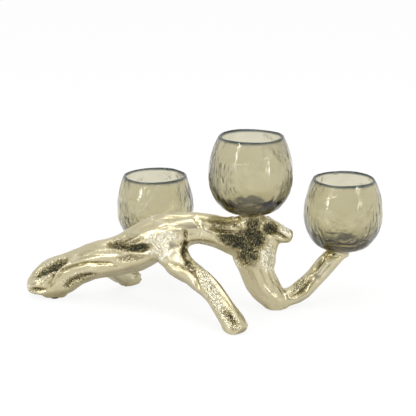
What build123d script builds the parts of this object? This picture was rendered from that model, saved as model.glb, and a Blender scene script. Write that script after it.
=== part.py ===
# Votive candle holder: three blown-glass cups on a cast driftwood branch.
#
# The branch is six aluminium castings, coped into each other, welded and
# dressed flush: the trunk, the front leg, the rear leg, the shoulder under
# the middle cup, the right arm and the rear bough under the left cup. Each
# cup sits on a ribbed rubber pad that is screwed to a round boss and fills
# a ground recess in the cup's thick base, so the cup lifts straight off.
# Four felt discs under the castings meet the table.
#
# Millimetres, +Z up, X along the branch, Y away from the viewer. The parts
# are drawn with the middle cup's axis at X = Y = 0 and the table at Z = 0,
# and are moved as one at the end, so that the origin lies on the table
# under the middle of the holder's outline.
import math
import os

from build123d import *

# Cup seats: each boss's top face
mid_seat = (-0.7, 0.0, 116.0)
right_seat = (106.5, 30.0, 64.0)
left_seat = (-111.6, 105.0, 48.0)
boss_radius = 17.0
boss_neck_radius = 8.5
boss_height = 6.0
boss_root = 4.0
cup_clear_radius = 52.0
cup_clear_foot = 30.0
cup_clear_rise = 25.0

# Glass cups, blown one at a time: wall height, belly radius, rim radius
mid_cup = (84.9, 47.6, 36.9)
right_cup = (80.4, 46.2, 36.7)
left_cup = (81.2, 46.8, 38.4)
belly_height = 41.0
foot_radius = 19.0
glass_wall = 3.4
base_thickness = 11.0
floor_radius = 22.0
recess_radius = 16.5

# Ribbed rubber pad and its screw
pad_thickness = 6.0
pad_rib_count = 24
pad_rib_radius = 1.0
recess_clearance = 0.3
foot_gap = 0.4
screw_radius = 2.0
screw_head_radius = 4.0
screw_head_height = 2.4
screw_length = 15.0
screw_clearance = 0.1
drill_point = 1.0

# Felt discs under the feet, each on a flat cast into the limb above it
felt_thickness = 1.2
felt_radius = 5.0
flat_radius = 6.0
flat_height = 7.0
felt_places = {
    "left": (-228.0, 37.0),
    "rear": (-142.5, 82.0),
    "front": (-19.0, -71.5),
    "right": (30.0, 1.0),
}

# Room below the table face that the castings are trimmed along
table_width = 1000.0
table_depth = 100.0

# Cross-section of a limb: arcs between shallow valleys
lobe_count = 6
valley_depth = 0.1

# Each limb's route: x, y, z, half its seen width, half its depth
trunk_route = [
    (-259.0, 42.0, 12.5, 6.0, 6.0),
    (-253.5, 42.0, 13.8, 11.5, 10.0),
    (-243.5, 41.0, 17.8, 18.3, 14.5),
    (-231.5, 40.0, 22.2, 22.5, 17.0),
    (-217.5, 37.0, 27.6, 23.0, 17.5),
    (-203.5, 34.0, 36.2, 20.2, 17.0),
    (-189.0, 30.0, 44.0, 19.6, 17.0),
    (-170.0, 26.0, 51.5, 21.2, 17.5),
    (-148.0, 21.5, 57.8, 22.6, 18.5),
    (-126.0, 15.5, 68.8, 24.5, 19.5),
    (-110.0, 11.5, 79.0, 25.6, 20.0),
    (-95.0, 8.0, 85.5, 25.0, 19.5),
    (-79.0, 4.0, 92.3, 20.4, 19.0),
    (-62.0, 1.0, 96.2, 17.0, 17.0),
    (-45.0, 0.0, 94.0, 16.5, 16.0),
    (-29.0, 0.0, 90.0, 18.6, 16.0),
    (-12.0, 0.0, 86.0, 23.0, 15.0),
]
front_leg_route = [
    (-94.0, 5.0, 80.0, 20.0, 15.0),
    (-85.5, -6.5, 65.0, 16.8, 14.0),
    (-75.4, -17.0, 55.6, 14.0, 12.8),
    (-62.7, -28.0, 49.8, 12.3, 11.8),
    (-51.8, -39.0, 43.6, 12.0, 11.0),
    (-42.5, -48.0, 36.0, 11.0, 10.5),
    (-34.6, -57.0, 27.6, 10.6, 10.5),
    (-27.2, -65.0, 19.0, 11.0, 11.0),
    (-21.0, -71.5, 10.8, 11.7, 11.0),
    (-14.5, -77.0, 2.5, 10.5, 9.5),
]
rear_leg_route = [
    (-168.0, 30.0, 45.0, 11.0, 10.0),
    (-163.0, 44.0, 33.0, 10.5, 9.5),
    (-157.5, 57.0, 24.0, 10.0, 9.0),
    (-151.5, 69.0, 15.5, 9.5, 8.5),
    (-144.5, 79.0, 10.0, 9.0, 7.5),
    (-137.5, 85.0, 8.2, 8.0, 6.5),
    (-131.0, 88.0, 7.8, 4.5, 4.0),
]
shoulder_route = [
    (0.0, 0.0, 114.0, 12.0, 11.0),
    (1.0, 0.0, 106.0, 18.5, 14.0),
    (2.0, 0.0, 97.0, 26.5, 16.5),
    (3.5, 0.0, 84.0, 29.0, 17.0),
    (4.8, 0.0, 71.0, 26.0, 16.5),
    (6.2, 0.0, 58.0, 22.6, 15.5),
    (8.2, 0.0, 46.5, 18.6, 15.0),
    (12.0, 1.0, 34.0, 17.2, 14.5),
    (19.5, 1.0, 22.0, 16.2, 14.0),
    (28.0, 1.0, 11.5, 14.0, 13.0),
    (34.0, 1.0, 3.0, 9.0, 10.0),
]
stub_route = [
    (12.0, 0.0, 97.0, 13.0, 11.0),
    (26.0, 0.0, 91.5, 10.8, 10.0),
    (38.0, -1.0, 88.0, 8.2, 8.5),
    (46.0, -1.0, 86.5, 6.8, 7.5),
]
right_arm_route = [
    (24.0, 2.0, 11.0, 9.0, 9.5),
    (37.5, 4.0, 10.8, 10.8, 10.5),
    (50.5, 7.0, 14.0, 10.4, 10.0),
    (62.5, 11.0, 21.2, 11.2, 10.5),
    (72.0, 14.2, 29.4, 10.7, 10.5),
    (79.5, 17.5, 37.4, 10.7, 10.5),
    (87.0, 21.2, 45.5, 11.0, 11.0),
    (95.0, 25.0, 53.0, 11.0, 11.5),
    (103.0, 29.0, 61.0, 11.0, 11.5),
]
rear_bough_route = [
    (-84.0, 8.0, 84.0, 15.0, 14.0),
    (-84.5, 26.0, 72.0, 14.0, 13.0),
    (-86.0, 44.0, 58.5, 13.0, 12.0),
    (-89.0, 62.0, 47.0, 12.5, 11.0),
    (-94.5, 79.0, 39.0, 12.5, 10.0),
    (-103.0, 94.0, 37.0, 13.5, 10.0),
    (-112.0, 106.0, 37.5, 12.0, 9.5),
    (-119.0, 116.0, 38.5, 8.0, 7.0),
]

along_depth = Vector(0, 1, 0)
upward = Vector(0, 0, 1)


def section(station, tangent, reference):
    """One lobed cross-section of a limb, square to its route."""
    x, y, z, half_width, half_depth = station
    side = tangent.cross(reference).normalized()
    front = side.cross(tangent).normalized()
    centre = Vector(x, y, z)

    def at(angle, share):
        across = side * (half_width * share * math.cos(angle))
        return centre + across + front * (half_depth * share * math.sin(angle))

    step = 2 * math.pi / lobe_count
    arcs = []
    for lobe in range(lobe_count):
        start = step * (lobe - 0.5)
        valley_share = 1 - valley_depth
        arcs.append(
            ThreePointArc(
                at(start, valley_share),
                at(start + step / 2, 1.0),
                at(start + step, valley_share),
            )
        )
    return Wire(arcs)


def limb(route, reference):
    """A solid lofted through the cross-sections along a route."""
    places = [Vector(x, y, z) for x, y, z, _, _ in route]
    wires = []
    for index, station in enumerate(route):
        before = places[max(index - 1, 0)]
        after = places[min(index + 1, len(places) - 1)]
        wires.append(section(station, (after - before).normalized(), reference))
    return Solid.make_loft(wires)


def boss(seat):
    """The flared round boss that a cup's pad lies on."""
    x, y, z = seat
    flare = Cone(boss_neck_radius, boss_radius, boss_height)
    neck = Cylinder(boss_neck_radius, boss_root)
    neck_middle = z - boss_height - boss_root / 2
    return Pos(x, y, z - boss_height / 2) * flare + Pos(x, y, neck_middle) * neck


def cup_room(seat):
    """The space over a seat that a casting stays out of."""
    x, y, z = seat
    flare = Cone(cup_clear_foot, cup_clear_radius, cup_clear_rise)
    above = Cylinder(cup_clear_radius, 2 * cup_clear_radius)
    above_middle = z + cup_clear_rise + cup_clear_radius
    return Pos(x, y, z + cup_clear_rise / 2) * flare + Pos(x, y, above_middle) * above


def foot_flat(side):
    """The short round flat that a felt disc is glued to."""
    x, y = felt_places[side]
    return Pos(x, y, felt_thickness + flat_height / 2) * Cylinder(flat_radius, flat_height)


def screw_hole(seat):
    x, y, z = seat
    depth = screw_length - pad_thickness + drill_point
    return Pos(x, y, z - depth / 2) * Cylinder(screw_radius + screw_clearance, depth)


def glass_cup(size):
    """A cup with its foot on Z = 0: barrel outside, thick base, ground recess."""
    cup_height, belly_radius, rim_radius = size
    inner_belly = belly_radius - glass_wall
    inner_rim = rim_radius - glass_wall
    outer_heel = EllipticalCenterArc(
        (foot_radius, belly_height),
        belly_radius - foot_radius,
        belly_height,
        start_angle=270,
        arc_size=90,
    )
    inner_heel = EllipticalCenterArc(
        (floor_radius, belly_height),
        inner_belly - floor_radius,
        belly_height - base_thickness,
        start_angle=270,
        arc_size=90,
    )

    def upper_wall(belly, rim):
        rise = cup_height - belly_height
        lean = belly - rim
        bend = (rise**2 + lean**2) / (2 * lean)
        half_rise = rise / 2
        inset = bend - math.sqrt(bend**2 - half_rise**2)
        return ThreePointArc(
            (belly, belly_height),
            (belly - inset, belly_height + half_rise),
            (rim, cup_height),
        )

    lip = ThreePointArc(
        (rim_radius, cup_height),
        (rim_radius - glass_wall / 2, cup_height + glass_wall / 2),
        (inner_rim, cup_height),
    )
    recess_depth = pad_thickness - foot_gap
    bottom = Polyline(
        (0, base_thickness),
        (0, recess_depth),
        (recess_radius, recess_depth),
        (recess_radius, 0),
        (foot_radius, 0),
    )
    floor_line = Line((0, base_thickness), (floor_radius, base_thickness))
    outline = Wire(
        [
            *bottom.edges(),
            outer_heel.edge(),
            upper_wall(belly_radius, rim_radius).edge(),
            lip.edge(),
            upper_wall(inner_belly, inner_rim).edge(),
            inner_heel.edge(),
            floor_line.edge(),
        ]
    )
    profile = Plane.XZ * Face(outline)
    return revolve(profile, Axis.Z, 360)


def rubber_pad():
    """The ribbed pad with its underside on Z = 0 and a countersunk hole."""
    tip_radius = recess_radius - recess_clearance
    core_radius = tip_radius - pad_rib_radius
    outline = Circle(core_radius)
    outline += PolarLocations(core_radius, pad_rib_count) * Circle(pad_rib_radius)
    pad = extrude(outline, pad_thickness)
    hole = Pos(0, 0, pad_thickness / 2) * Cylinder(
        screw_radius + screw_clearance, pad_thickness
    )
    return pad - hole - screw_head(screw_clearance)


def screw_head(grown=0.0):
    """The countersunk head, flush with the pad's top face."""
    head = Cone(
        screw_radius + grown, screw_head_radius + grown, screw_head_height
    )
    return Pos(0, 0, pad_thickness - screw_head_height / 2) * head


def screw():
    shank_top = pad_thickness - screw_head_height / 2
    shank_length = screw_length - screw_head_height / 2
    shank = Pos(0, 0, shank_top - shank_length / 2) * Cylinder(
        screw_radius, shank_length
    )
    return shank + screw_head()


def felt_disc(place):
    x, y = place
    return Pos(x, y, felt_thickness / 2) * Cylinder(felt_radius, felt_thickness)


def largest(body):
    """What is left of a coped casting once its trimmings fall away."""
    return max(body.solids(), key=lambda solid: solid.volume)


def castings():
    """The six castings, each coped to the ones before it."""
    shoulder = limb(shoulder_route, along_depth) + limb(stub_route, along_depth)
    shoulder = shoulder + boss(mid_seat) + foot_flat("right")
    shoulder = shoulder - cup_room(mid_seat)
    trunk = limb(trunk_route, along_depth) + foot_flat("left") - shoulder
    front_leg = limb(front_leg_route, along_depth) + foot_flat("front") - trunk
    rear_leg = limb(rear_leg_route, upward) + foot_flat("rear") - trunk
    right_arm = limb(right_arm_route, along_depth) + boss(right_seat)
    right_arm = right_arm - cup_room(right_seat) - shoulder
    rear_bough = limb(rear_bough_route, upward) + boss(left_seat)
    rear_bough = rear_bough - cup_room(left_seat) - trunk - front_leg
    made = {
        "trunk_casting": trunk,
        "shoulder_casting": shoulder - screw_hole(mid_seat),
        "front_leg_casting": front_leg,
        "rear_leg_casting": rear_leg,
        "right_arm_casting": right_arm - screw_hole(right_seat),
        "rear_bough_casting": rear_bough - screw_hole(left_seat),
    }
    table_side = Pos(0, 0, felt_thickness - table_depth / 2) * Box(
        table_width, table_width, table_depth
    )
    return {name: largest(body - table_side) for name, body in made.items()}


def everything():
    made = castings()
    for side, place in felt_places.items():
        made[f"felt_disc_{side}"] = felt_disc(place)
    cups = {
        "left": (left_seat, left_cup),
        "mid": (mid_seat, mid_cup),
        "right": (right_seat, right_cup),
    }
    for side, ((x, y, z), size) in cups.items():
        made[f"seat_pad_{side}"] = Pos(x, y, z) * rubber_pad()
        made[f"seat_screw_{side}"] = Pos(x, y, z) * screw()
        made[f"glass_cup_{side}"] = Pos(x, y, z + foot_gap) * glass_cup(size)
    return {name: largest(shape) for name, shape in made.items()}


def main():
    made = everything()
    outline = Compound(list(made.values())).bounding_box()
    middle = outline.center()
    shift = Pos(-middle.X, -middle.Y, 0)
    os.makedirs("parts", exist_ok=True)
    for name, solid in made.items():
        export_step(shift * solid, f"parts/{name}.step")
    print("moved by", round(-middle.X, 3), round(-middle.Y, 3))
    print("outline", outline.size)


main()
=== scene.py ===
"""Votive candle holder: a cast driftwood branch, three blown glass cups and their seats.

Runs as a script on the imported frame, in the frame's axes. Blender's own unit is
the metre, and what is said to be in millimetres is turned into it with MM.
"""

import math

import bmesh
import bpy
import numpy as np
from mathutils import Matrix, Vector, noise
from mathutils.bvhtree import BVHTree


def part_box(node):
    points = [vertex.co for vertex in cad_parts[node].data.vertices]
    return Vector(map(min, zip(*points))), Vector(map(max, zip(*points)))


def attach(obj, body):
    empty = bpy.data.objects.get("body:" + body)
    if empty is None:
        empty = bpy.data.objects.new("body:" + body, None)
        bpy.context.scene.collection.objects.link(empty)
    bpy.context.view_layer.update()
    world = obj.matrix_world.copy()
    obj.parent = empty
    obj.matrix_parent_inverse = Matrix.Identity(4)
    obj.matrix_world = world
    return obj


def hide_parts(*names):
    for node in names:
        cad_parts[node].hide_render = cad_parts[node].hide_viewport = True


bl_info = {
    "name": "Votive Candle Holder",
    "version": (1, 0, 0),
    "blender": (4, 5, 0),
    "location": "View3D > Sidebar > Holder",
    "description": "Builds a cast driftwood branch with three hammered glass candle cups",
    "category": "Object",
}

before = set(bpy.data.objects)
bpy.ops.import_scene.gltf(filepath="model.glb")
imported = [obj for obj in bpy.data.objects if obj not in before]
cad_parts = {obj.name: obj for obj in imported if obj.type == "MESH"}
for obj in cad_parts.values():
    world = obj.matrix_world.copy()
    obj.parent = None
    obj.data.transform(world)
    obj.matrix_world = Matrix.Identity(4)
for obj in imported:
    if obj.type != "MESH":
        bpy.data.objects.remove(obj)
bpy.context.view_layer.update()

MM = 0.001
# The photograph's width in pixels, and the camera set to match it: sensor
# and lens in millimetres, the tilt down, and its place in millimetres from the anchor.
PHOTO_SIZE = 416
SENSOR = 36.0
LENS = 108.17
CAMERA_TILT = math.radians(16)
CAMERA_PLACE = (-48.2, -1344.8, 505.4)
FOCAL_PIXELS = PHOTO_SIZE * LENS / SENSOR
# How far along a line of sight that misses the branch it is looked for, in millimetres.
MISSED_REACH = range(1200, 1700, 10)
# How far the anchor lies to the right of the middle seat's axis, in millimetres.
SEAT_OFFSET = 0.7
BODY = "branch"
CASTINGS = (
    "trunk_casting",
    "shoulder_casting",
    "front_leg_casting",
    "rear_leg_casting",
    "right_arm_casting",
    "rear_bough_casting",
)
SIDES = ("left", "mid", "right")
FEET = ("left", "rear", "front", "right")

# Limb centrelines in millimetres from the anchor: x, y, z and the limb's mean
# radius there. They roughly follow the solids' own routes, and the folds run
# along them.
LIMBS = {
    "trunk": (
        (-259, 42, 12, 9),
        (-231, 40, 22, 20),
        (-203, 34, 36, 19),
        (-170, 26, 51, 19),
        (-126, 15, 69, 22),
        (-95, 8, 85, 22),
        (-62, 1, 96, 17),
        (-29, 0, 92, 17),
        (0, 0, 88, 22),
    ),
    "front_leg": (
        (-94, 2, 80, 17),
        (-85, -7, 65, 15),
        (-63, -28, 50, 12),
        (-42, -48, 36, 11),
        (-27, -65, 19, 11),
        (-15, -77, 3, 10),
    ),
    "rear_leg": (
        (-168, 30, 45, 10),
        (-157, 57, 24, 10),
        (-144, 79, 10, 8),
        (-131, 88, 8, 5),
    ),
    "shoulder": (
        (0, 0, 116, 15),
        (2, 0, 97, 21),
        (4, 0, 71, 21),
        (8, 0, 47, 17),
        (19, 1, 22, 15),
        (34, 1, 3, 10),
    ),
    "stub": ((12, 0, 97, 12), (26, 0, 91, 10), (46, -1, 86, 7)),
    "right_arm": (
        (24, 2, 11, 10),
        (50, 7, 14, 10),
        (72, 14, 29, 10),
        (95, 25, 53, 11),
        (106, 30, 64, 13),
    ),
    "rear_bough": (
        (-84, 8, 84, 14),
        (-86, 44, 58, 12),
        (-94, 79, 39, 11),
        (-119, 116, 38, 8),
    ),
}


def seat_of(side):
    """The foot of a cup: the screw's axis at the height of the boss's top face."""
    low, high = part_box("seat_screw_" + side)
    pad_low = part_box("seat_pad_" + side)[0]
    return Vector(((low[0] + high[0]) / 2, (low[1] + high[1]) / 2, pad_low[2]))


def anchor():
    """The origin that the solids are drawn from: on the table, beside the middle seat."""
    seat = seat_of("mid")
    return Vector((seat.x + SEAT_OFFSET * MM, seat.y, 0.0))


# Materials

# How noise and the painted shade set the plating, each as a factor and an offset.
MOTTLE = (0.3, 0.04)
FLECK = (-1.6, 3.2)
SHEEN = (0.14, 0.22)
# How far the hammered cells are pushed about, in metres.
CELL_WARP = (0.004, 0.004, 0.004)
# The refractive index of soda glass.
GLASS_IOR = 1.5


def new_material(name):
    """A node material with its shader and output, and the node tree to build on."""
    material = bpy.data.materials.new(name)
    material.use_nodes = True
    tree = material.node_tree
    return material, tree, tree.nodes["Principled BSDF"], tree.nodes["Material Output"]


def add(tree, kind, **values):
    """A new node. Keywords set its properties, or its inputs by name."""
    node = tree.nodes.new(kind)
    for key, value in values.items():
        if key in node.inputs:
            node.inputs[key].default_value = value
        else:
            setattr(node, key, value)
    return node


def ramp(tree, source, stops):
    """A colour ramp fed by a socket. Each stop is a position and a colour."""
    node = add(tree, "ShaderNodeValToRGB")
    elements = node.color_ramp.elements
    while len(elements) < len(stops):
        elements.new(0.5)
    for element, (position, colour) in zip(elements, stops):
        element.position = position
        element.color = (*colour, 1.0)
    tree.links.new(source, node.inputs["Fac"])
    return node.outputs["Color"]


def grey(value):
    """A neutral colour."""
    return (value, value, value)


def object_noise(tree, scale, detail=4.0, rough=0.55, stretch=(1, 1, 1)):
    """Noise in the object's own coordinates, in features per metre."""
    place = add(tree, "ShaderNodeTexCoord")
    mapping = add(tree, "ShaderNodeMapping")
    mapping.inputs["Scale"].default_value = stretch
    tree.links.new(place.outputs["Object"], mapping.inputs["Vector"])
    node = add(tree, "ShaderNodeTexNoise", Scale=scale, Detail=detail, Roughness=rough)
    tree.links.new(mapping.outputs["Vector"], node.inputs["Vector"])
    return node.outputs["Fac"]


def math_node(tree, operation, *values):
    """A maths node. Each value is a number or the socket that feeds it."""
    node = add(tree, "ShaderNodeMath", operation=operation)
    for socket, value in zip(node.inputs, values):
        if isinstance(value, (int, float)):
            socket.default_value = value
        else:
            tree.links.new(value, socket)
    return node.outputs["Value"]


def bump(tree, height, strength, distance, normal=None):
    """A bump node's normal. The strength is a number or a socket."""
    node = add(tree, "ShaderNodeBump", Distance=distance)
    if isinstance(strength, (int, float)):
        node.inputs["Strength"].default_value = strength
    else:
        tree.links.new(strength, node.inputs["Strength"])
    tree.links.new(height, node.inputs["Height"])
    if normal is not None:
        tree.links.new(normal, node.inputs["Normal"])
    return node.outputs["Normal"]


def struck_normal(tree, hammer, strength):
    """The fine hammered texture's normal: warped cells, as strong as the hammering."""
    cells = add(tree, "ShaderNodeTexVoronoi", feature="SMOOTH_F1", Scale=680.0)
    cells.inputs["Smoothness"].default_value = 0.6
    place = add(tree, "ShaderNodeTexCoord")
    warp = add(tree, "ShaderNodeTexNoise", Scale=260.0, Detail=2.0)
    tree.links.new(place.outputs["Object"], warp.inputs["Vector"])
    blend = add(tree, "ShaderNodeVectorMath", operation="MULTIPLY_ADD")
    tree.links.new(warp.outputs["Color"], blend.inputs[0])
    blend.inputs[1].default_value = CELL_WARP
    tree.links.new(place.outputs["Object"], blend.inputs[2])
    tree.links.new(blend.outputs["Vector"], cells.inputs["Vector"])
    struck = math_node(tree, "MULTIPLY", hammer, strength)
    normal = bump(tree, cells.outputs["Distance"], struck, 0.002)
    return bump(tree, object_noise(tree, 420.0, 3.0), 0.16, 0.0008, normal)


def gold_material(settings):
    """Champagne plating: polished on the folds, hammered and darker in the hollows as painted
    shade, with painted highlights.
    """
    material, tree, shader, _ = new_material("champagne_gold")
    # Painted shade kept on the skin's points, and painted highlight where it is below 0.
    painted_light = add(tree, "ShaderNodeAttribute", attribute_name="painted_light").outputs["Fac"]
    hammer = add(tree, "ShaderNodeAttribute", attribute_name="hammer").outputs["Fac"]
    tint = math_node(tree, "MULTIPLY_ADD", object_noise(tree, 55.0, 5.0), *MOTTLE)
    tint = math_node(tree, "ADD", tint, painted_light)
    grain = object_noise(tree, 640.0, 4.0, 0.55, (1, 1, 0.55))
    fleck = math_node(tree, "SUBTRACT", grain, 0.5)
    fleck = math_node(tree, "MULTIPLY", fleck, hammer)
    calm = math_node(tree, "MULTIPLY_ADD", painted_light, *FLECK)
    fleck = math_node(tree, "MULTIPLY", fleck, calm)
    tint = math_node(tree, "ADD", tint, fleck)
    # Painted highlight at the ramp's foot, then the plating's own gold, then painted shade,
    # darkest in the deepest pits.
    stops = (
        (0.0, settings.painted_highlight),
        (0.2, settings.gold),
        (0.42, settings.gold),
        (0.7, settings.gold_shade),
        (1.0, settings.deep_shade),
    )
    tree.links.new(ramp(tree, tint, stops), shader.inputs["Base Color"])
    shader.inputs["Metallic"].default_value = 1.0
    sheen = math_node(tree, "MULTIPLY_ADD", object_noise(tree, 120.0), *SHEEN)
    polish = math_node(tree, "MULTIPLY", hammer, 0.1)
    sheen = math_node(tree, "SUBTRACT", sheen, polish)
    tree.links.new(sheen, shader.inputs["Roughness"])
    normal = struck_normal(tree, hammer, settings.hammer_bump)
    tree.links.new(normal, shader.inputs["Normal"])
    return material


def glass_material(settings):
    """Smoky olive blown glass, coloured through its thickness, with a painted dark reflection
    along the rim and at grazing edges.
    """
    material, tree, shader, output = new_material("smoky_glass")
    # Painted dark reflection: a blue-grey tint along the rim and at edges seen edge-on.
    lip = add(tree, "ShaderNodeAttribute", attribute_name="lip").outputs["Fac"]
    edge = add(tree, "ShaderNodeLayerWeight", Blend=0.5).outputs["Facing"]
    edge = math_node(tree, "POWER", edge, 4.0)
    edge = math_node(tree, "MAXIMUM", math_node(tree, "MULTIPLY", edge, 0.3), lip)
    tint = ramp(tree, edge, ((0.0, settings.glass_face), (1.0, settings.painted_rim_reflection)))
    tree.links.new(tint, shader.inputs["Base Color"])
    shader.inputs["Transmission Weight"].default_value = 1.0
    shader.inputs["IOR"].default_value = GLASS_IOR
    shader.inputs["Roughness"].default_value = 0.0
    ripple = object_noise(tree, 60.0, 2.0, 0.5, (1, 1, 0.35))
    seeds = object_noise(tree, 240.0, 3.0, 0.6, (1, 1, 0.6))
    patchy = ramp(tree, object_noise(tree, 38.0, 1.0), ((0.5, grey(0.05)), (0.6, grey(0.9))))
    normal = bump(tree, ripple, 0.4, 0.004)
    normal = bump(tree, seeds, patchy, 0.0024, normal)
    tree.links.new(normal, shader.inputs["Normal"])
    volume = add(tree, "ShaderNodeVolumeAbsorption")
    volume.inputs["Color"].default_value = (*settings.glass, 1.0)
    volume.inputs["Density"].default_value = settings.glass_density
    tree.links.new(volume.outputs["Volume"], output.inputs["Volume"])
    return material


def rubber_material():
    """Black rubber with a fine matt grain."""
    material, tree, shader, _ = new_material("pad_rubber")
    fine = object_noise(tree, 900.0, 3.0)
    black = ramp(tree, fine, ((0.2, grey(0.012)), (0.8, grey(0.03))))
    tree.links.new(black, shader.inputs["Base Color"])
    shader.inputs["Roughness"].default_value = 0.62
    tree.links.new(bump(tree, fine, 0.25, 0.0003), shader.inputs["Normal"])
    return material


def screw_material():
    """Black zinc with turning marks."""
    material, tree, shader, _ = new_material("screw_black_zinc")
    turned = object_noise(tree, 700.0, 2.0, 0.5, (1, 1, 6))
    shader.inputs["Metallic"].default_value = 1.0
    zinc = ramp(tree, turned, ((0.2, (0.07, 0.068, 0.06)), (0.8, (0.16, 0.155, 0.14))))
    tree.links.new(zinc, shader.inputs["Base Color"])
    sheen = ramp(tree, turned, ((0.0, grey(0.25)), (1.0, grey(0.45))))
    tree.links.new(sheen, shader.inputs["Roughness"])
    tree.links.new(bump(tree, turned, 0.2, 0.0002), shader.inputs["Normal"])
    return material


def felt_material():
    """Dark fibrous felt."""
    material, tree, shader, _ = new_material("dark_felt")
    fibres = object_noise(tree, 1600.0, 6.0, 0.7)
    pile = ramp(tree, fibres, ((0.3, (0.02, 0.018, 0.015)), (0.75, (0.075, 0.066, 0.055))))
    tree.links.new(pile, shader.inputs["Base Color"])
    shader.inputs["Roughness"].default_value = 0.95
    shader.inputs["Sheen Weight"].default_value = 0.3
    tree.links.new(bump(tree, fibres, 0.6, 0.0004), shader.inputs["Normal"])
    return material


def paint(obj, material):
    """Give an object one material in place of its own."""
    obj.data.materials.clear()
    obj.data.materials.append(material)


# Mesh helpers

# Points measured at a time, to spare memory.
BATCH = 20000


def cad_copy(name, nodes, swellings=()):
    """One new mesh object with copies of several CAD nodes' meshes and added swellings."""
    work = bmesh.new()
    for centre, halves in swellings:
        place = Matrix.Translation(centre) @ Matrix.Diagonal((*halves, 1.0))
        bmesh.ops.create_icosphere(work, subdivisions=4, radius=1.0, matrix=place)
    for node in nodes:
        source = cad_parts[node]
        part = source.data.copy()
        part.transform(source.matrix_world)
        work.from_mesh(part)
        bpy.data.meshes.remove(part)
    mesh = bpy.data.meshes.new(name)
    work.to_mesh(mesh)
    work.free()
    obj = bpy.data.objects.new(name, mesh)
    bpy.context.scene.collection.objects.link(obj)
    return obj


def apply_modifiers(obj):
    """Replace an object's mesh by what its modifiers make of it."""
    graph = bpy.context.evaluated_depsgraph_get()
    mesh = bpy.data.meshes.new_from_object(obj.evaluated_get(graph))
    old = obj.data
    obj.modifiers.clear()
    obj.data = mesh
    bpy.data.meshes.remove(old)


def coordinates(mesh):
    """The mesh's points as rows of x, y and z."""
    points = np.empty(len(mesh.vertices) * 3)
    mesh.vertices.foreach_get("co", points)
    return points.reshape(-1, 3)


def normals(mesh):
    """The mesh's point normals as rows."""
    values = np.empty(len(mesh.vertices) * 3, dtype=np.float32)
    mesh.vertex_normals.foreach_get("vector", values)
    return values.reshape(-1, 3).astype(float)


def store(mesh, name, values):
    """Keep a value for each point, for the materials to read."""
    attribute = mesh.attributes.new(name, "FLOAT", "POINT")
    attribute.data.foreach_set("value", values.astype(np.float32))


def relax(mesh, weight, rounds):
    """Smooth a mesh where the weights say, to round off creases."""
    points = coordinates(mesh)
    ends = np.empty(len(mesh.edges) * 2, dtype=int)
    mesh.edges.foreach_get("vertices", ends)
    first, second = ends.reshape(-1, 2).T
    size = len(points)
    count = np.bincount(first, minlength=size) + np.bincount(second, minlength=size)
    for _ in range(rounds):
        total = np.empty_like(points)
        for axis in range(3):
            total[:, axis] = np.bincount(first, points[second, axis], size)
            total[:, axis] += np.bincount(second, points[first, axis], size)
        points += weight[:, None] * (total / count[:, None] - points)
    mesh.vertices.foreach_set("co", points.ravel())
    mesh.update()


def noise_at(points):
    """Smooth noise at each row."""
    return np.array([noise.noise(Vector(p)) for p in points])


def smooth_step(values, low, high):
    """0 below low and 1 above high, with a smooth rise between."""
    t = np.clip((values - low) / (high - low), 0.0, 1.0)
    return t * t * (3 - 2 * t)


def sampled(route, step=2.0):
    """Points, radii and distances along a limb's smoothed centreline, in millimetres."""
    stations = np.array(route, dtype=float)
    padded = np.vstack((2 * stations[0] - stations[1], stations, 2 * stations[-1] - stations[-2]))
    rows = []
    for a, b, c, d in zip(padded, padded[1:], padded[2:], padded[3:]):
        count = max(2, int(np.linalg.norm(c[:3] - b[:3]) / step))
        for t in np.arange(count) / count:
            rows.append(
                0.5 * (2 * b + (c - a) * t + (2 * a - 5 * b + 4 * c - d) * t**2
                       + (3 * b - a - 3 * c + d) * t**3)
            )
    rows.append(stations[-1])
    rows = np.array(rows)
    lengths = np.linalg.norm(np.diff(rows[:, :3], axis=0), axis=1)
    return rows[:, :3], rows[:, 3], np.concatenate(([0.0], np.cumsum(lengths)))


def nearest(points, line):
    """For each point, the index of the nearest sample of a line and its distance."""
    index = np.empty(len(points), dtype=int)
    gap = np.empty(len(points))
    for start in range(0, len(points), BATCH):
        part = points[start:start + BATCH]
        squares = ((part[:, None, :] - line[None, :, :]) ** 2).sum(axis=2)
        index[start:start + BATCH] = squares.argmin(axis=1)
        gap[start:start + BATCH] = np.sqrt(squares.min(axis=1))
    return index, gap


# Branch

# Layers of folds: how many go round a limb, their length along it in millimetres
# and their height.
FOLDS = ((1.25, 85.0, 1.6), (2.6, 62.0, 0.6), (5.5, 48.0, 0.22))
# Millimetres of limb in which the folds turn by one radian.
FOLD_TWIST = 90.0
# Rounds of smoothing: over the welds at large, and where seams are dressed away.
WELD_ROUNDS = 11
DRESSING_ROUNDS = 46
# The depths, in millimetres, at which a stroke and a dent get their full painted shade.
STROKE_FULL_SHADE = 3.2
HOLLOW_FULL_SHADE = 2.4
# The deepest and highest that the relief goes, in millimetres.
RELIEF = (-6.0, 3.0)
# Round each seat the skin has no relief: radius and height in millimetres.
SEAT_RADIUS = 20
SEAT_HEIGHT = 8


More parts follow.
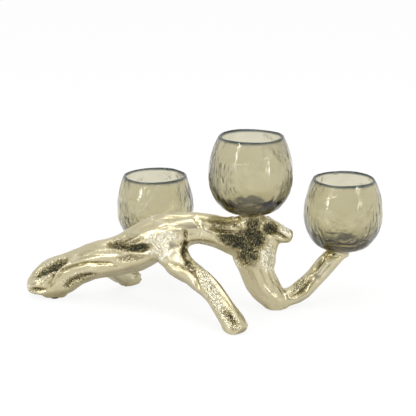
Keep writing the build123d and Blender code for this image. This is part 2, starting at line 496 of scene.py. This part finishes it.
def grain(points):
    """Folds that follow each limb: height in millimetres, blended between limbs."""
    total = np.zeros(len(points))
    weight_sum = np.zeros(len(points))
    for number, route in enumerate(LIMBS.values()):
        line, radii, along = sampled(route)
        index, gap = nearest(points, line)
        weight = np.exp(-((gap / radii[index]) ** 2) * 1.6) + 1e-9
        used = weight > 0.02
        centre = line[index[used]]
        tangent = np.gradient(line, axis=0)
        tangent /= np.linalg.norm(tangent, axis=1)[:, None]
        t = tangent[index[used]]
        side = np.cross(t, (0.0, 1.0, 0.13))
        side /= np.linalg.norm(side, axis=1)[:, None]
        front = np.cross(side, t)
        out = points[used] - centre
        angle = np.arctan2((out * front).sum(axis=1), (out * side).sum(axis=1))
        distance = along[index[used]]
        twist = angle + distance / FOLD_TWIST
        height = np.zeros(used.sum())
        for reach, slow, size in FOLDS:
            spots = np.column_stack(
                (np.cos(twist) * reach + 17 * number, np.sin(twist) * reach, distance / slow)
            )
            folds = 1 - 2.4 * np.abs(noise_at(spots))
            height += size * folds
        total[used] += weight[used] * height
        weight_sum += weight
    return total / weight_sum


def along_stroke(points, stroke):
    """Distance in the XZ plane to a stroke's polyline, and how far along it is."""
    line = np.array(stroke, dtype=float)
    flat = points[:, (0, 2)]
    best = np.full(len(points), 1e9)
    run = np.zeros(len(points))
    lengths = np.linalg.norm(np.diff(line, axis=0), axis=1)
    before = 0.0
    for a, b, length in zip(line, line[1:], lengths):
        d = (b - a) / length
        t = np.clip((flat - a) @ d, 0.0, length)
        gap = flat - a - t[:, None] * d
        far = np.linalg.norm(gap, axis=1)
        closer = far < best
        best[closer] = far[closer]
        run[closer] = (before + t)[closer]
        before += length
    return best, run / before


# Swellings that bridge the fork, in millimetres from the anchor: centre and half sizes.
FILLERS = (
    ((-92, -2, 75), (15, 13, 12)),
    ((-80, -10, 66), (11, 11, 11)),
    ((-101, -3, 71), (9, 10, 9)),
    ((-98, -5, 62), (8, 9, 8)),
)
# Places where the castings' seams are dressed away: centre and reach.
DRESSED = (((-90, -6, 68), 26), ((27, 0, 30), 28), ((22, 0, 62), 22), ((46, -1, 86), 15))
# Radii round a felt disc's middle, in millimetres: where the metal begins to come
# down, where it is fully down, and where it starts and ends going back up.
DISC_RADII = (5.4, 6.6, 9.0, 17.0)

# Marks on the branch's front, given in the photograph's pixels.
# A groove or ridge is a line of points, and its half width and depth or rise,
# which become millimetres when multiplied by these two.
STROKE_WIDTH = 1.4
STROKE_DEPTH = 1.25
GROOVES = {
    "mouth": (((27.5, 288.5), (36, 289), (47, 290)), 1.5, 3.2),
    "nose_fold": (((47, 290), (49.5, 288), (51, 280), (55.3, 271), (60.5, 264),
        (67, 261)), 1.3, 2.2),
    "sweep_under": (((69, 263), (80, 257.5), (92, 254.5), (104, 254), (116, 254),
        (125, 256)), 1, 1),
    "lower_fold": (((52, 286), (56, 279), (62, 270), (72, 266), (85, 263.3), (97, 263),
        (109, 263.3), (121, 265.3)), 1.3, 2.2),
    "sliver_a": (((117, 244), (127, 240), (139, 235)), 1.1, 2.2),
    "sliver_b": (((120, 248), (131, 243), (144, 238)), 1.1, 2.4),
    "hairline": (((121, 240.5), (132, 231.5)), 0.9, 1),
    "brow": (((151, 215.5), (156, 217), (166, 218.5), (178, 217), (195, 215)), 1.4, 1.5),
    "brow_2": (((159, 229), (168, 226.5), (176, 228), (184, 228)), 1.3, 1.2),
    "web": (((185, 229), (186, 236), (184, 245), (184.5, 253), (188, 263), (192, 269)), 1.2, 2),
    "knuckle": (((194, 219), (199, 224), (201, 231), (199, 237)), 1, 1.1),
    "top_slot": (((208, 220.5), (225, 221.5), (241, 218)), 1.3, 2),
    "mid_slot": (((206, 228), (215, 229.5), (226, 231), (237, 232)), 1.7, 2.8),
    "stub_slot": (((272, 231), (281, 235), (291, 239)), 1.4, 2.6),
    "bough_flute": (((250, 276), (254, 286), (260, 294), (271, 303)), 1.8, 1.1),
    "bough_flute_2": (((268, 282), (276, 291), (287, 298)), 1.8, 0.9),
    "flute_a": (((243, 272), (250, 288), (259, 300)), 1, 0.9),
    "flute_b": (((250, 270), (257, 286), (267, 299)), 0.9, 0.8),
    "flute_c": (((258, 268), (265, 284), (276, 297)), 1, 0.9),
    "flute_d": (((266, 266), (273, 281), (284, 294)), 0.9, 0.7),
    "arm_crease": (((289, 295), (296, 295.5), (304, 290), (308, 283), (314, 276.5)), 1.4, 2.4),
    "arm_slot": (((314.5, 272), (319, 265), (325, 258.5)), 1.2, 2.8),
    "arm_top": (((326, 257.5), (333, 255), (340, 252)), 1.4, 1.8),
    "leg_crease": (((166, 262), (180, 267), (190, 272.5), (196, 279), (199, 287),
        (203, 294)), 1.5, 1.9),
    "toe_slot": (((220, 311), (224, 314), (229, 315), (232, 320), (238, 327)), 1.3, 2.4),
    "foot_fold": (((64, 289), (74, 281), (84, 278), (98, 274)), 1.6, 1.6),
}
RIDGES = {
    "lip": (((30, 284), (38, 284), (45, 285), (51, 277)), 2.2, 1),
    "sweep": (((66, 261), (77, 254), (89, 251), (102, 250), (115, 250), (124, 252.3),
        (135, 253), (149, 254), (156, 259)), 1.3, 2),
    "sliver_ridge": (((118, 246.5), (130, 241.5), (141, 236)), 0.9, 1.6),
    "sliver_ridge_2": (((123, 247.5), (134, 243.5), (146, 240)), 0.9, 1.5),
    "needle": (((230, 234), (246, 242), (256, 249), (262, 255)), 0.8, 1.7),
    "shoulder_rib": (((260, 222), (261, 236), (264, 246)), 1.6, 1.8),
    "bough_rim": (((212, 246), (224, 250), (234, 257), (240, 266), (245, 280),
        (251, 291)), 2.6, 1.6),
    "palm_edge": (((176, 251), (186, 262), (196, 274)), 1.6, 1.2),
    "leg_rim": (((196, 262), (210, 275), (220, 287), (230, 303), (240, 318)), 2.2, 1.3),
}
# Each dent is its centre and half sizes in pixels, its tilt in degrees and its depth, and it is
# painted darker as shade.
HOLLOWS = {
    "nose_pits": ((50, 269), (20, 3.2), 31.5, 2.4),
    "belly_pits": ((82, 277), (15, 4), 20, 2),
    "heel_pits": ((68, 285), (6, 5), 20, 1.5),
    "under_pits": ((131, 258), (17, 3.4), 12, 1.3),
    "nose_flank": ((50, 270), (23, 5.5), 31.5, 0.6),
    "belly_flank": ((80, 278), (19, 6), 20, 0.7),
    "fork_pits": ((116, 245), (11, 3.2), 8, 2),
    "fork_hollow": ((137, 248.5), (15, 4.2), 9, 2.6),
    "fork_gold": ((126, 246.5), (20, 6.5), 10, 0.9),
    "palm": ((158, 248), (10, 11), 0, 0.3),
    "web_pits": ((184.5, 251), (3, 5), -10, 2),
    "web_pits_low": ((188, 264), (2.4, 4), -30, 1.8),
    "web_pits_top": ((185, 233), (2.4, 5), 0, 1.4),
    "leg_pits": ((190, 266), (12, 4), -50, 1.4),
    "leg_band": ((212, 294), (26, 6), -56, 0.7),
    "toe_pits": ((230, 318), (12, 5), -50, 1.2),
    "bowl": ((252, 239), (18, 12), -12, 4.6),
    "bowl_left": ((233, 242), (20, 8), -30, 3.2),
    "bowl_low": ((248, 256), (12, 11), 0, 2.6),
    "bowl_top": ((253, 225), (9, 9), 0, 2),
    "stub_root": ((271, 229), (9, 6), -20, 3),
    "band": ((225, 225), (20, 3.2), 0, 1.3),
    "shine": ((268, 256), (7, 14), 0, 0.4),
    "arm_pocket": ((300, 286), (11, 4.5), 42, 1.1),
    "boss_side": ((252, 222), (8, 4), 0, 0.8),
}
# Faces given a painted highlight and a fine hammered texture: centre, half sizes and tilt.
HAMMERED_HIGHLIGHTS = {
    "palm_face": ((158, 247), (11, 13), 0),
    "shoulder_face": ((268, 258), (7, 15), 8),
    "bough_edge": ((236, 262), (4, 8), 40),
    "lip_face": ((30, 290), (10, 5), 0),
    "leg_face": ((214, 296), (24, 4.5), -56),
    "brow_face": ((168, 236), (8, 5), 10),
    "elbow_face": ((205, 244), (10, 3), -20),
    "stub_face": ((284, 231), (8, 3), -25),
    "boss_face": ((262, 226), (5, 4), 0),
}


def sight(pixel):
    """Direction from the camera through a pixel, 1 long along the camera's axis."""
    across = (pixel[0] - PHOTO_SIZE / 2) / FOCAL_PIXELS
    rise = (PHOTO_SIZE / 2 - pixel[1]) / FOCAL_PIXELS
    c, s = math.cos(CAMERA_TILT), math.sin(CAMERA_TILT)
    return Vector((across, c + s * rise, c * rise - s))


def pixel_finder(mesh, base):
    """A function that gives a pixel's place on the mesh and the millimetres it spans."""
    corners = [vertex.co for vertex in mesh.vertices]
    surface = BVHTree.FromPolygons(corners, [tuple(face.vertices) for face in mesh.polygons])
    eye = base + Vector(CAMERA_PLACE) * MM
    axis = sight((PHOTO_SIZE / 2, PHOTO_SIZE / 2))

    def find(pixel):
        along = sight(pixel)
        hit = surface.ray_cast(eye, along.normalized())[0]
        if hit is None:
            beside = (surface.find_nearest(eye + along * far * MM) for far in MISSED_REACH)
            hit = min(beside, key=lambda near: near[3])[0]
        place = (hit - base) / MM
        return (place.x, place.z), (hit - eye).dot(axis) / MM / FOCAL_PIXELS

    return find


def oval(points, find, pixel, halves, tilt):
    """1 inside a tilted oval in the XZ plane, falling to 0 round its edge."""
    centre, scale = find(pixel)
    wide, tall = halves[0] * scale, halves[1] * scale / math.cos(CAMERA_TILT)
    c, s = math.cos(math.radians(tilt)), math.sin(math.radians(tilt))
    dx, dz = points[:, 0] - centre[0], points[:, 2] - centre[1]
    u = (dx * c + dz * s) / wide
    v = (-dx * s + dz * c) / tall
    return np.exp(-((u**2 + v**2) ** 2.2))


def welded_castings(settings, base):
    """The castings and the fork's swellings as one mesh, with its seams dressed away."""
    swellings = [
        (base + Vector(centre) * MM, Vector(halves) * MM) for centre, halves in FILLERS
    ]
    obj = cad_copy("branch_skin", CASTINGS, swellings)
    remesh = obj.modifiers.new("weld", "REMESH")
    remesh.mode = "VOXEL"
    remesh.voxel_size = settings.skin_detail
    soften = obj.modifiers.new("dress", "SMOOTH")
    soften.factor = 0.5
    soften.iterations = WELD_ROUNDS
    apply_modifiers(obj)
    points = (coordinates(obj.data) - np.array(base)) / MM
    dressed = np.zeros(len(points))
    for centre, reach in DRESSED:
        away = np.linalg.norm(points - np.array(centre), axis=1)
        dressed = np.maximum(dressed, 1 - smooth_step(away, 0.6 * reach, reach))
    relax(obj.data, 0.6 * dressed, DRESSING_ROUNDS)
    return obj


def carve_strokes(points, facing, find, height):
    """Cut the grooves and raise the ridges in the height, and give the grooves' painted shade,
    which the ridges lessen.
    """
    painted_shade = np.zeros(len(points))
    for pixels, width, depth in GROOVES.values():
        width *= STROKE_WIDTH
        depth *= STROKE_DEPTH
        far, run = along_stroke(points, [find(pixel)[0] for pixel in pixels])
        taper = facing * np.sqrt(np.clip(4 * run * (1 - run), 0, 1))
        cut = np.exp(-((far / width) ** 2))
        lips = np.exp(-(((far - 2.3 * width) / (1.3 * width)) ** 2))
        height -= taper * depth * (cut - 0.3 * lips)
        painted_shade = np.maximum(painted_shade, taper * cut * min(1.0, depth / STROKE_FULL_SHADE))
    for pixels, width, rise in RIDGES.values():
        width *= STROKE_WIDTH
        rise *= STROKE_DEPTH
        far, run = along_stroke(points, [find(pixel)[0] for pixel in pixels])
        taper = np.sqrt(np.clip(4 * run * (1 - run), 0, 1))
        crest = facing * taper * np.exp(-np.abs(far / width) ** 1.4)
        height += rise * crest
        painted_shade *= 1 - 0.8 * crest
    return painted_shade


def carve_hollows(points, facing, find, height, painted_shade):
    """Sink the hollows in the height, and give their painted shade and how hammered they are."""
    hammer = np.zeros(len(points))
    for pixel, halves, tilt, depth in HOLLOWS.values():
        dish = facing * oval(points, find, pixel, halves, tilt)
        height -= depth * dish
        hammer = np.maximum(hammer, dish)
        painted_shade = np.maximum(painted_shade, dish**0.6 * min(1.0, depth / HOLLOW_FULL_SHADE))
    return painted_shade, hammer


def highlight_faces(points, facing, find):
    """How much painted highlight and hammering each point gets."""
    highlight_and_hammer = np.zeros(len(points))
    for pixel, halves, tilt in HAMMERED_HIGHLIGHTS.values():
        highlight_and_hammer = np.maximum(highlight_and_hammer, facing * oval(points, find, pixel, halves, tilt))
    return highlight_and_hammer


def kept_faces(points, base):
    """1 where no relief goes: round the seats and at the table."""
    kept = np.zeros(len(points))
    for side in SIDES:
        seat = (np.array(seat_of(side)) - np.array(base)) / MM
        across = np.hypot(points[:, 0] - seat[0], points[:, 1] - seat[1])
        near = (across < SEAT_RADIUS) & (np.abs(points[:, 2] - seat[2]) < SEAT_HEIGHT)
        kept = np.maximum(kept, np.where(near, 1.0, 0.0))
    return np.maximum(kept, 1 - smooth_step(points[:, 2], 1.5, 6.0))


def branch_skin(settings):
    """The six castings as one dressed, hammered and folded skin."""
    base = anchor()
    obj = welded_castings(settings, base)
    mesh = obj.data
    points = (coordinates(mesh) - np.array(base)) / MM
    outward = normals(mesh)
    # 1 on the side that the photograph shows, and 0 on the back.
    facing = smooth_step(-outward[:, 1] + 0.25 * outward[:, 2], -0.1, 0.35)
    height = grain(points) * settings.fold_depth * (1.5 - 0.9 * facing)
    find = pixel_finder(mesh, base)
    painted_shade = carve_strokes(points, facing, find, height)
    painted_shade, hammer = carve_hollows(points, facing, find, height, painted_shade)
    highlight_and_hammer = highlight_faces(points, facing, find)
    hammer = np.maximum(hammer, 0.8 * highlight_and_hammer)
    patches = noise_at(points / 21.0 + 5.0)
    patches = 0.6 * smooth_step(patches, 0.12, 0.4) * (1 - 0.85 * facing)
    hammer = np.maximum(hammer, patches)
    pits = noise_at(points / 2.3) * 0.55 + noise_at(points / 4.6 + 3.0) * 0.6
    height += hammer * pits * settings.pit_depth
    # The painted shade is given a ragged edge.
    ragged = painted_shade + 0.9 * noise_at(points / (3.4, 3.4, 1.8) + 9.0) * np.sqrt(painted_shade)
    painted_shade = 0.78 * painted_shade * smooth_step(ragged, 0.1, 0.62)
    height *= 1 - kept_faces(points, base)
    moved = points + outward * np.clip(height, *RELIEF)[:, None]
    moved[:, 2] -= foot_reach(moved, base)
    moved = np.clip(moved, *branch_box(base))
    mesh.vertices.foreach_set("co", (moved * MM + np.array(base)).ravel())
    # Painted shade in the relief's valleys, added to that of the grooves and dents.
    dark = np.maximum(0.6 * smooth_step(-height, 0.9, 3.8), painted_shade)
    # Painted shade on faces that look down.
    dark = np.maximum(dark, 0.4 * smooth_step(-outward[:, 2], 0.0, 0.75))
    # Kept for the plating's colour: painted shade, less the painted highlight on the bright
    # faces.
    store(mesh, "painted_light", dark - 0.3 * highlight_and_hammer * (1 - dark))
    store(mesh, "hammer", np.clip(hammer, 0, 1))
    mesh.shade_smooth()
    mesh.update()
    return obj


def foot_reach(points, base):
    """How far the metal round each felt disc is pulled down towards the table.

    The castings' box then stops it level with the disc's top face.
    """
    inner, down, leaving, outer = DISC_RADII
    drop = np.zeros(len(points))
    for foot in FEET:
        low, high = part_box("felt_disc_" + foot)
        middle = (np.array(low) + np.array(high)) / 2
        disc = (middle - np.array(base)) / MM
        across = np.hypot(points[:, 0] - disc[0], points[:, 1] - disc[1])
        ring = smooth_step(across, inner, down)
        ring *= 1 - smooth_step(across, leaving, outer)
        drop = np.maximum(drop, ring)
    height = points[:, 2]
    return drop * np.clip(height - 0.1, 0.0, 9.0) * (1 - smooth_step(height, 3.0, 9.0))


def branch_box(base):
    """The corners of the castings' box, in millimetres from the anchor."""
    corners = [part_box(name) for name in CASTINGS]
    low = np.min([c[0] for c in corners], axis=0)
    high = np.max([c[1] for c in corners], axis=0)
    return (low - np.array(base)) / MM, (high - np.array(base)) / MM


# Cups

# Outer radius of each rim, in millimetres.
RIM_RADIUS = {"left": 38.4, "mid": 36.9, "right": 36.7}
# The pads' thickness, which the recess under a cup takes in, in millimetres.
PAD_THICKNESS = 6.0
# How far the wall stays inside the solid's belly, and how far it wobbles, in millimetres.
BELLY_INSET = 0.1
WOBBLE = 0.45
# In metres: the foot's outer radius, the wall, the floor's height and radius, the
# height of the belly, and the recess with the eased edges at its top and mouth.
FOOT_RADIUS = 0.019
WALL = 0.0034
FLOOR = 0.011
FLOOR_RADIUS = 0.022
BELLY_HEIGHT = 0.041
RECESS_RADIUS = 0.0165
RECESS_TOP_RADIUS = 0.0164
RECESS_EASING = 0.0004
RECESS_MOUTH = 0.0172
# Places round a ring, and how much the inner wall follows the outer one's dimples.
SEGMENTS = 144
INNER_SHARE = 0.55
# The dimples' spacing in metres, and the depth of the broad and small ones in millimetres.
DIMPLE_SPACING = 0.013
BROAD_DIMPLE = 1.5
SMALL_DIMPLE = 0.6


def cup_mesh(name, side, seed):
    """A blown cup: lathe profile from the CAD cup's box, with dimples and a fire-polished rim."""
    low, high = (Vector(v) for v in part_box("glass_cup_" + side))
    seat = seat_of(side)
    centre = Vector(((low.x + high.x) / 2, (low.y + high.y) / 2, low.z))
    belly = (high.x - low.x) / 2 - BELLY_INSET * MM
    tall = high.z - low.z
    rim = RIM_RADIUS[side] * MM
    outer = outer_profile(belly, rim, tall)
    inner = inner_profile(belly, rim, tall)
    recess_high = seat.z + PAD_THICKNESS * MM - low.z
    base = (
        (0.0, recess_high),
        (RECESS_TOP_RADIUS, recess_high),
        (RECESS_RADIUS, recess_high - RECESS_EASING),
        (RECESS_RADIUS, 0.0),
        (RECESS_MOUTH, 0.0),
    )
    profile = [(p, 0.0) for p in base] + [(p, 1.0) for p in outer]
    profile += [(p, INNER_SHARE) for p in inner]
    work = bmesh.new()
    rings = []
    for (radius, z), lump in profile:
        if radius < 1e-6:
            rings.append([work.verts.new((centre.x, centre.y, low.z + z))])
            continue
        ring = []
        for k in range(SEGMENTS):
            angle = 2 * math.pi * k / SEGMENTS
            share = radius - lump * dimple(angle, z, radius, seed)
            wobble = lump * WOBBLE * MM * math.sin(2 * angle + seed) * min(1, z / 0.03)
            share += wobble - lump * WOBBLE * MM
            lift = rim_lift(angle, z, tall, seed) if lump else 0.0
            ring.append(
                work.verts.new(
                    (
                        centre.x + share * math.cos(angle),
                        centre.y + share * math.sin(angle),
                        low.z + min(z + lift, tall),
                    )
                )
            )
        rings.append(ring)
    for a, b in zip(rings, rings[1:]):
        for k in range(SEGMENTS):
            n = (k + 1) % SEGMENTS
            if len(a) == 1:
                work.faces.new((a[0], b[n], b[k]))
            elif len(b) == 1:
                work.faces.new((a[k], a[n], b[0]))
            else:
                work.faces.new((a[k], a[n], b[n], b[k]))
    bmesh.ops.recalc_face_normals(work, faces=work.faces)
    mesh = bpy.data.meshes.new(name)
    work.to_mesh(mesh)
    work.free()
    below = (high.z - coordinates(mesh)[:, 2]) / MM
    # Where the rim's painted dark reflection goes: 1 down to 1.4 mm below the top, gone by 4.6
    # mm.
    store(mesh, "lip", 1 - smooth_step(below, 1.4, 4.6))
    mesh.shade_smooth()
    obj = bpy.data.objects.new(name, mesh)
    bpy.context.scene.collection.objects.link(obj)
    return obj


def upper_curve(belly, rim, tall, count):
    """The wall from the belly up to the rim, as an arc that leans in."""
    rise = tall - BELLY_HEIGHT
    lean = belly - rim
    bend = (rise**2 + lean**2) / (2 * lean)
    for k in range(1, count + 1):
        z = rise * k / count
        yield belly - (bend - math.sqrt(bend**2 - z**2)), BELLY_HEIGHT + z


def heel_curve(foot, belly, floor, count):
    """A quarter ellipse from the foot out to the belly."""
    for k in range(count + 1):
        t = math.pi / 2 * k / count
        radius = foot + (belly - foot) * math.sin(t)
        yield radius, floor + (BELLY_HEIGHT - floor) * (1 - math.cos(t))


def outer_profile(belly, rim, tall):
    """The outside of a cup, from the foot up and over the round rim."""
    points = list(heel_curve(FOOT_RADIUS, belly, 0.0, 30))
    points += list(upper_curve(belly, rim, tall - WALL / 2, 32))
    radius, z = rim - WALL / 2, tall - WALL / 2
    for k in range(1, 8):
        t = math.pi * k / 8
        points.append((radius + WALL / 2 * math.cos(t), z + WALL / 2 * math.sin(t)))
    return points


def inner_profile(belly, rim, tall):
    """The inside of a cup, from the rim down to the middle of the floor."""
    wall = list(upper_curve(belly - WALL, rim - WALL, tall - WALL / 2, 32))[::-1]
    heel = list(heel_curve(FLOOR_RADIUS, belly - WALL, FLOOR, 28))[::-1]
    return wall + heel + [(0.015, FLOOR), (0.008, FLOOR), (0.0, FLOOR)]


def dimple(angle, z, radius, seed):
    """Inward depth of the hammered dimples at a place on the wall."""
    x, y = math.cos(angle) * radius, math.sin(angle) * radius
    spot = Vector((x, y, z * 0.8)) / DIMPLE_SPACING + Vector((seed * 9.0, 0, 0))
    broad = noise.noise(spot * 0.6)
    small = noise.noise(spot * 1.5 + Vector((3, 1, 7)))
    fade = min(1.0, z / 0.012)
    return fade * MM * (BROAD_DIMPLE * abs(broad) + SMALL_DIMPLE * abs(small))


def rim_lift(angle, z, tall, seed):
    """The slight waviness of a hand-finished rim."""
    near_rim = max(0.0, 1 - (tall - z) / 0.02)
    return -near_rim * 0.35 * MM * (1 + math.sin(3 * angle + 2 * seed))


# Add-on


class HolderSettings(bpy.types.PropertyGroup):
    """Sizes and colours of the holder's finish."""

    skin_detail: bpy.props.FloatProperty(
        name="Skin detail", description="Edge of one facet of the branch's skin",
        default=0.00108, min=0.0007, max=0.003, subtype="DISTANCE", unit="LENGTH",
    )
    fold_depth: bpy.props.FloatProperty(
        name="Fold depth", description="How strongly folds run along the limbs",
        default=0.65, min=0.0, max=2.0, subtype="FACTOR",
    )
    pit_depth: bpy.props.FloatProperty(
        name="Pit depth", description="Height of the hammer marks, in millimetres",
        default=0.9, min=0.0, max=2.0,
    )
    hammer_bump: bpy.props.FloatProperty(
        name="Hammer bump", description="Strength of the fine hammered texture",
        default=0.9, min=0.0, max=1.0, subtype="FACTOR",
    )
    gold: bpy.props.FloatVectorProperty(
        name="Gold", description="Plating on the raised folds",
        default=(0.54, 0.485, 0.315), subtype="COLOR", min=0, max=1,
    )
    # Painted highlight: a lighter plating on the hammered faces that catch the light.
    painted_highlight: bpy.props.FloatVectorProperty(
        name="Burnished", description="Plating on the brightest hammered faces",
        default=(0.84, 0.80, 0.64), subtype="COLOR", min=0, max=1,
    )
    # Painted shade: the next two colours darken the plating in the shallow hollows and in the
    # deepest pits.
    gold_shade: bpy.props.FloatVectorProperty(
        name="Gold shade", description="Plating in the shallow hollows",
        default=(0.295, 0.247, 0.124), subtype="COLOR", min=0, max=1,
    )
    deep_shade: bpy.props.FloatVectorProperty(
        name="Patina", description="Tarnish left in the deepest pits",
        default=(0.046, 0.05, 0.037), subtype="COLOR", min=0, max=1,
    )
    glass: bpy.props.FloatVectorProperty(
        name="Glass", description="Colour of the light that the glass lets through",
        default=(0.60, 0.55, 0.22), subtype="COLOR", min=0, max=1,
    )
    glass_face: bpy.props.FloatVectorProperty(
        name="Glass face", description="Tint that light takes at each face of the glass",
        default=(0.79, 0.765, 0.655), subtype="COLOR", min=0, max=1,
    )
    # Painted dark reflection at the rim and at grazing edges.
    painted_rim_reflection: bpy.props.FloatVectorProperty(
        name="Rim tint", description="Tint of the fire-polished rim and grazing edges",
        default=(0.06, 0.09, 0.11), subtype="COLOR", min=0, max=1,
    )
    glass_density: bpy.props.FloatProperty(
        name="Glass density", description="How fast the glass takes up light, per metre",
        default=82.0, min=0.0, max=500.0,
    )


def settings():
    """The scene's holder settings."""
    return bpy.context.scene.holder_settings


class HOLDER_OT_branch(bpy.types.Operator):
    """Build the cast branch's skin over the six castings"""

    bl_idname = "holder.branch"
    bl_label = "Branch"

    def execute(self, context):
        skin = branch_skin(settings())
        material = gold_material(settings())
        paint(skin, material)
        for name in CASTINGS:
            paint(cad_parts[name], material)
        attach(skin, BODY)
        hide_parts(*CASTINGS)
        return {"FINISHED"}


class HOLDER_OT_cups(bpy.types.Operator):
    """Build the three blown glass cups"""

    bl_idname = "holder.cups"
    bl_label = "Glass cups"

    def execute(self, context):
        material = glass_material(settings())
        for number, side in enumerate(SIDES):
            cup = cup_mesh("blown_cup_" + side, side, 1.7 * number + 0.6)
            paint(cup, material)
            paint(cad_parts["glass_cup_" + side], material)
            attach(cup, "cup_" + side)
            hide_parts("glass_cup_" + side)
        return {"FINISHED"}


class HOLDER_OT_seats(bpy.types.Operator):
    """Finish the rubber pads, their screws and the felt discs"""

    bl_idname = "holder.seats"
    bl_label = "Seats and feet"

    def execute(self, context):
        rubber, zinc, felt = rubber_material(), screw_material(), felt_material()
        for side in SIDES:
            paint(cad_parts["seat_pad_" + side], rubber)
            paint(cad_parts["seat_screw_" + side], zinc)
        for foot in FEET:
            paint(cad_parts["felt_disc_" + foot], felt)
        return {"FINISHED"}


# Lamps: place from the anchor and size in metres, and power in watts.
LAMPS = {
    "strip_left": ((-0.95, -0.85, 0.65), (0.10, 1.1), 5.5),
    "strip_right": ((0.95, -0.85, 0.65), (0.07, 1.1), 3.5),
    "top": ((-0.1, -0.1, 1.4), (1.1, 0.8), 6.0),
}
# The way that the brightest part of the room lies.
BRIGHT_SIDE = (0.12, 0.62, 0.72)
# The room's grey from the dimmest direction, at 0, to the brightest, at 1.
ROOM = ((0.0, 0.3), (0.3, 0.36), (0.42, 0.55), (0.52, 0.95), (1.0, 1.0))
# Half the table's width in metres, and the share of plain white that it shows
# directly and in a reflection.
TABLE_HALF = 7.0
TABLE_WHITE = 0.86
TABLE_MIRRORED = 0.4


def area_light(name, place, aim, size, power):
    """A rectangular lamp that points at a place."""
    data = bpy.data.lights.new(name, "AREA")
    data.shape = "RECTANGLE"
    data.size, data.size_y = size
    data.energy = power
    lamp = bpy.data.objects.new(name, data)
    bpy.context.scene.collection.objects.link(lamp)
    lamp.location = place
    lamp.rotation_euler = (Vector(aim) - Vector(place)).to_track_quat("-Z", "Y").to_euler()


def shown_directly(tree):
    """1 for rays from the camera or through glass, and 1 for those and glossy rays."""
    rays = add(tree, "ShaderNodeLightPath")
    direct = math_node(tree, "MAXIMUM", rays.outputs["Is Camera Ray"],
                       rays.outputs["Is Transmission Ray"])
    return direct, math_node(tree, "MAXIMUM", direct, rays.outputs["Is Glossy Ray"])


def studio_world():
    """A white sweep behind and above the holder, and a dimmer room before it."""
    world = bpy.data.worlds.new("studio")
    bpy.context.scene.world = world
    world.use_nodes = True
    tree = world.node_tree
    background = tree.nodes["Background"]
    place = add(tree, "ShaderNodeTexCoord")
    aim = add(tree, "ShaderNodeVectorMath", operation="DOT_PRODUCT")
    aim.inputs[1].default_value = BRIGHT_SIDE
    tree.links.new(place.outputs["Generated"], aim.inputs[0])
    lifted = math_node(tree, "MULTIPLY_ADD", aim.outputs["Value"], 0.5, 0.5)
    room = ramp(tree, lifted, [(position, grey(value)) for position, value in ROOM])
    choose = add(tree, "ShaderNodeMix", data_type="RGBA")
    tree.links.new(shown_directly(tree)[0], choose.inputs["Factor"])
    tree.links.new(room, choose.inputs[6])
    choose.inputs[7].default_value = (1.0, 1.0, 1.0, 1.0)
    tree.links.new(choose.outputs[2], background.inputs["Color"])
    background.inputs["Strength"].default_value = 1.0


def table():
    """A plain pale floor that the feet stand on."""
    work = bmesh.new()
    bmesh.ops.create_grid(work, x_segments=8, y_segments=8, size=TABLE_HALF)
    mesh = bpy.data.meshes.new("table")
    work.to_mesh(mesh)
    work.free()
    obj = bpy.data.objects.new("table", mesh)
    bpy.context.scene.collection.objects.link(obj)
    material, tree, shader, output = new_material("table_white")
    shader.inputs["Roughness"].default_value = 0.9
    shader.inputs["Specular IOR Level"].default_value = 0.1
    soft = object_noise(tree, 9.0, 2.0)
    pale = ramp(tree, soft, ((0.0, grey(0.93)), (1.0, grey(0.95))))
    tree.links.new(pale, shader.inputs["Base Color"])
    glow = add(tree, "ShaderNodeEmission", Strength=1.0)
    seen, mirrored = shown_directly(tree)
    share = math_node(tree, "MULTIPLY", seen, TABLE_WHITE)
    mirrored = math_node(tree, "MULTIPLY", mirrored, TABLE_MIRRORED)
    share = math_node(tree, "MAXIMUM", share, mirrored)
    white = add(tree, "ShaderNodeMixShader")
    tree.links.new(share, white.inputs["Fac"])
    tree.links.new(shader.outputs["BSDF"], white.inputs[1])
    tree.links.new(glow.outputs["Emission"], white.inputs[2])
    tree.links.new(white.outputs["Shader"], output.inputs["Surface"])
    paint(obj, material)


class HOLDER_OT_stage(bpy.types.Operator):
    """Set the table, lights, world and camera"""

    bl_idname = "holder.stage"
    bl_label = "Stage"

    def execute(self, context):
        scene = context.scene
        base = anchor()
        table()
        studio_world()
        for name, (place, size, power) in LAMPS.items():
            area_light(name, base + Vector(place), base, size, power)
        camera = bpy.data.objects.new("camera", bpy.data.cameras.new("camera"))
        scene.collection.objects.link(camera)
        camera.data.sensor_width = SENSOR
        camera.data.lens = LENS
        camera.data.clip_end = 20.0
        camera.location = base + Vector(CAMERA_PLACE) * MM
        camera.rotation_euler = (math.radians(90) - CAMERA_TILT, 0.0, 0.0)
        scene.camera = camera
        scene.view_settings.view_transform = "Standard"
        return {"FINISHED"}


class HOLDER_PT_panel(bpy.types.Panel):
    """Sizes, colours and the steps that build the holder"""

    bl_label = "Votive Candle Holder"
    bl_space_type = "VIEW_3D"
    bl_region_type = "UI"
    bl_category = "Holder"

    def draw(self, context):
        layout = self.layout
        for name in HolderSettings.__annotations__:
            layout.prop(settings(), name)
        for step in STEPS:
            layout.operator(step.bl_idname)


STEPS = (HOLDER_OT_branch, HOLDER_OT_cups, HOLDER_OT_seats, HOLDER_OT_stage)
CLASSES = (HolderSettings, *STEPS, HOLDER_PT_panel)


def register():
    """Add the holder's classes and settings to Blender."""
    for cls in CLASSES:
        bpy.utils.register_class(cls)
    bpy.types.Scene.holder_settings = bpy.props.PointerProperty(type=HolderSettings)


def unregister():
    """Take them out again."""
    del bpy.types.Scene.holder_settings
    for cls in reversed(CLASSES):
        bpy.utils.unregister_class(cls)


def main():
    """Build the whole scene."""
    register()
    bpy.ops.holder.branch()
    bpy.ops.holder.cups()
    bpy.ops.holder.seats()
    bpy.ops.holder.stage()


if __name__ == "__main__":
    main()
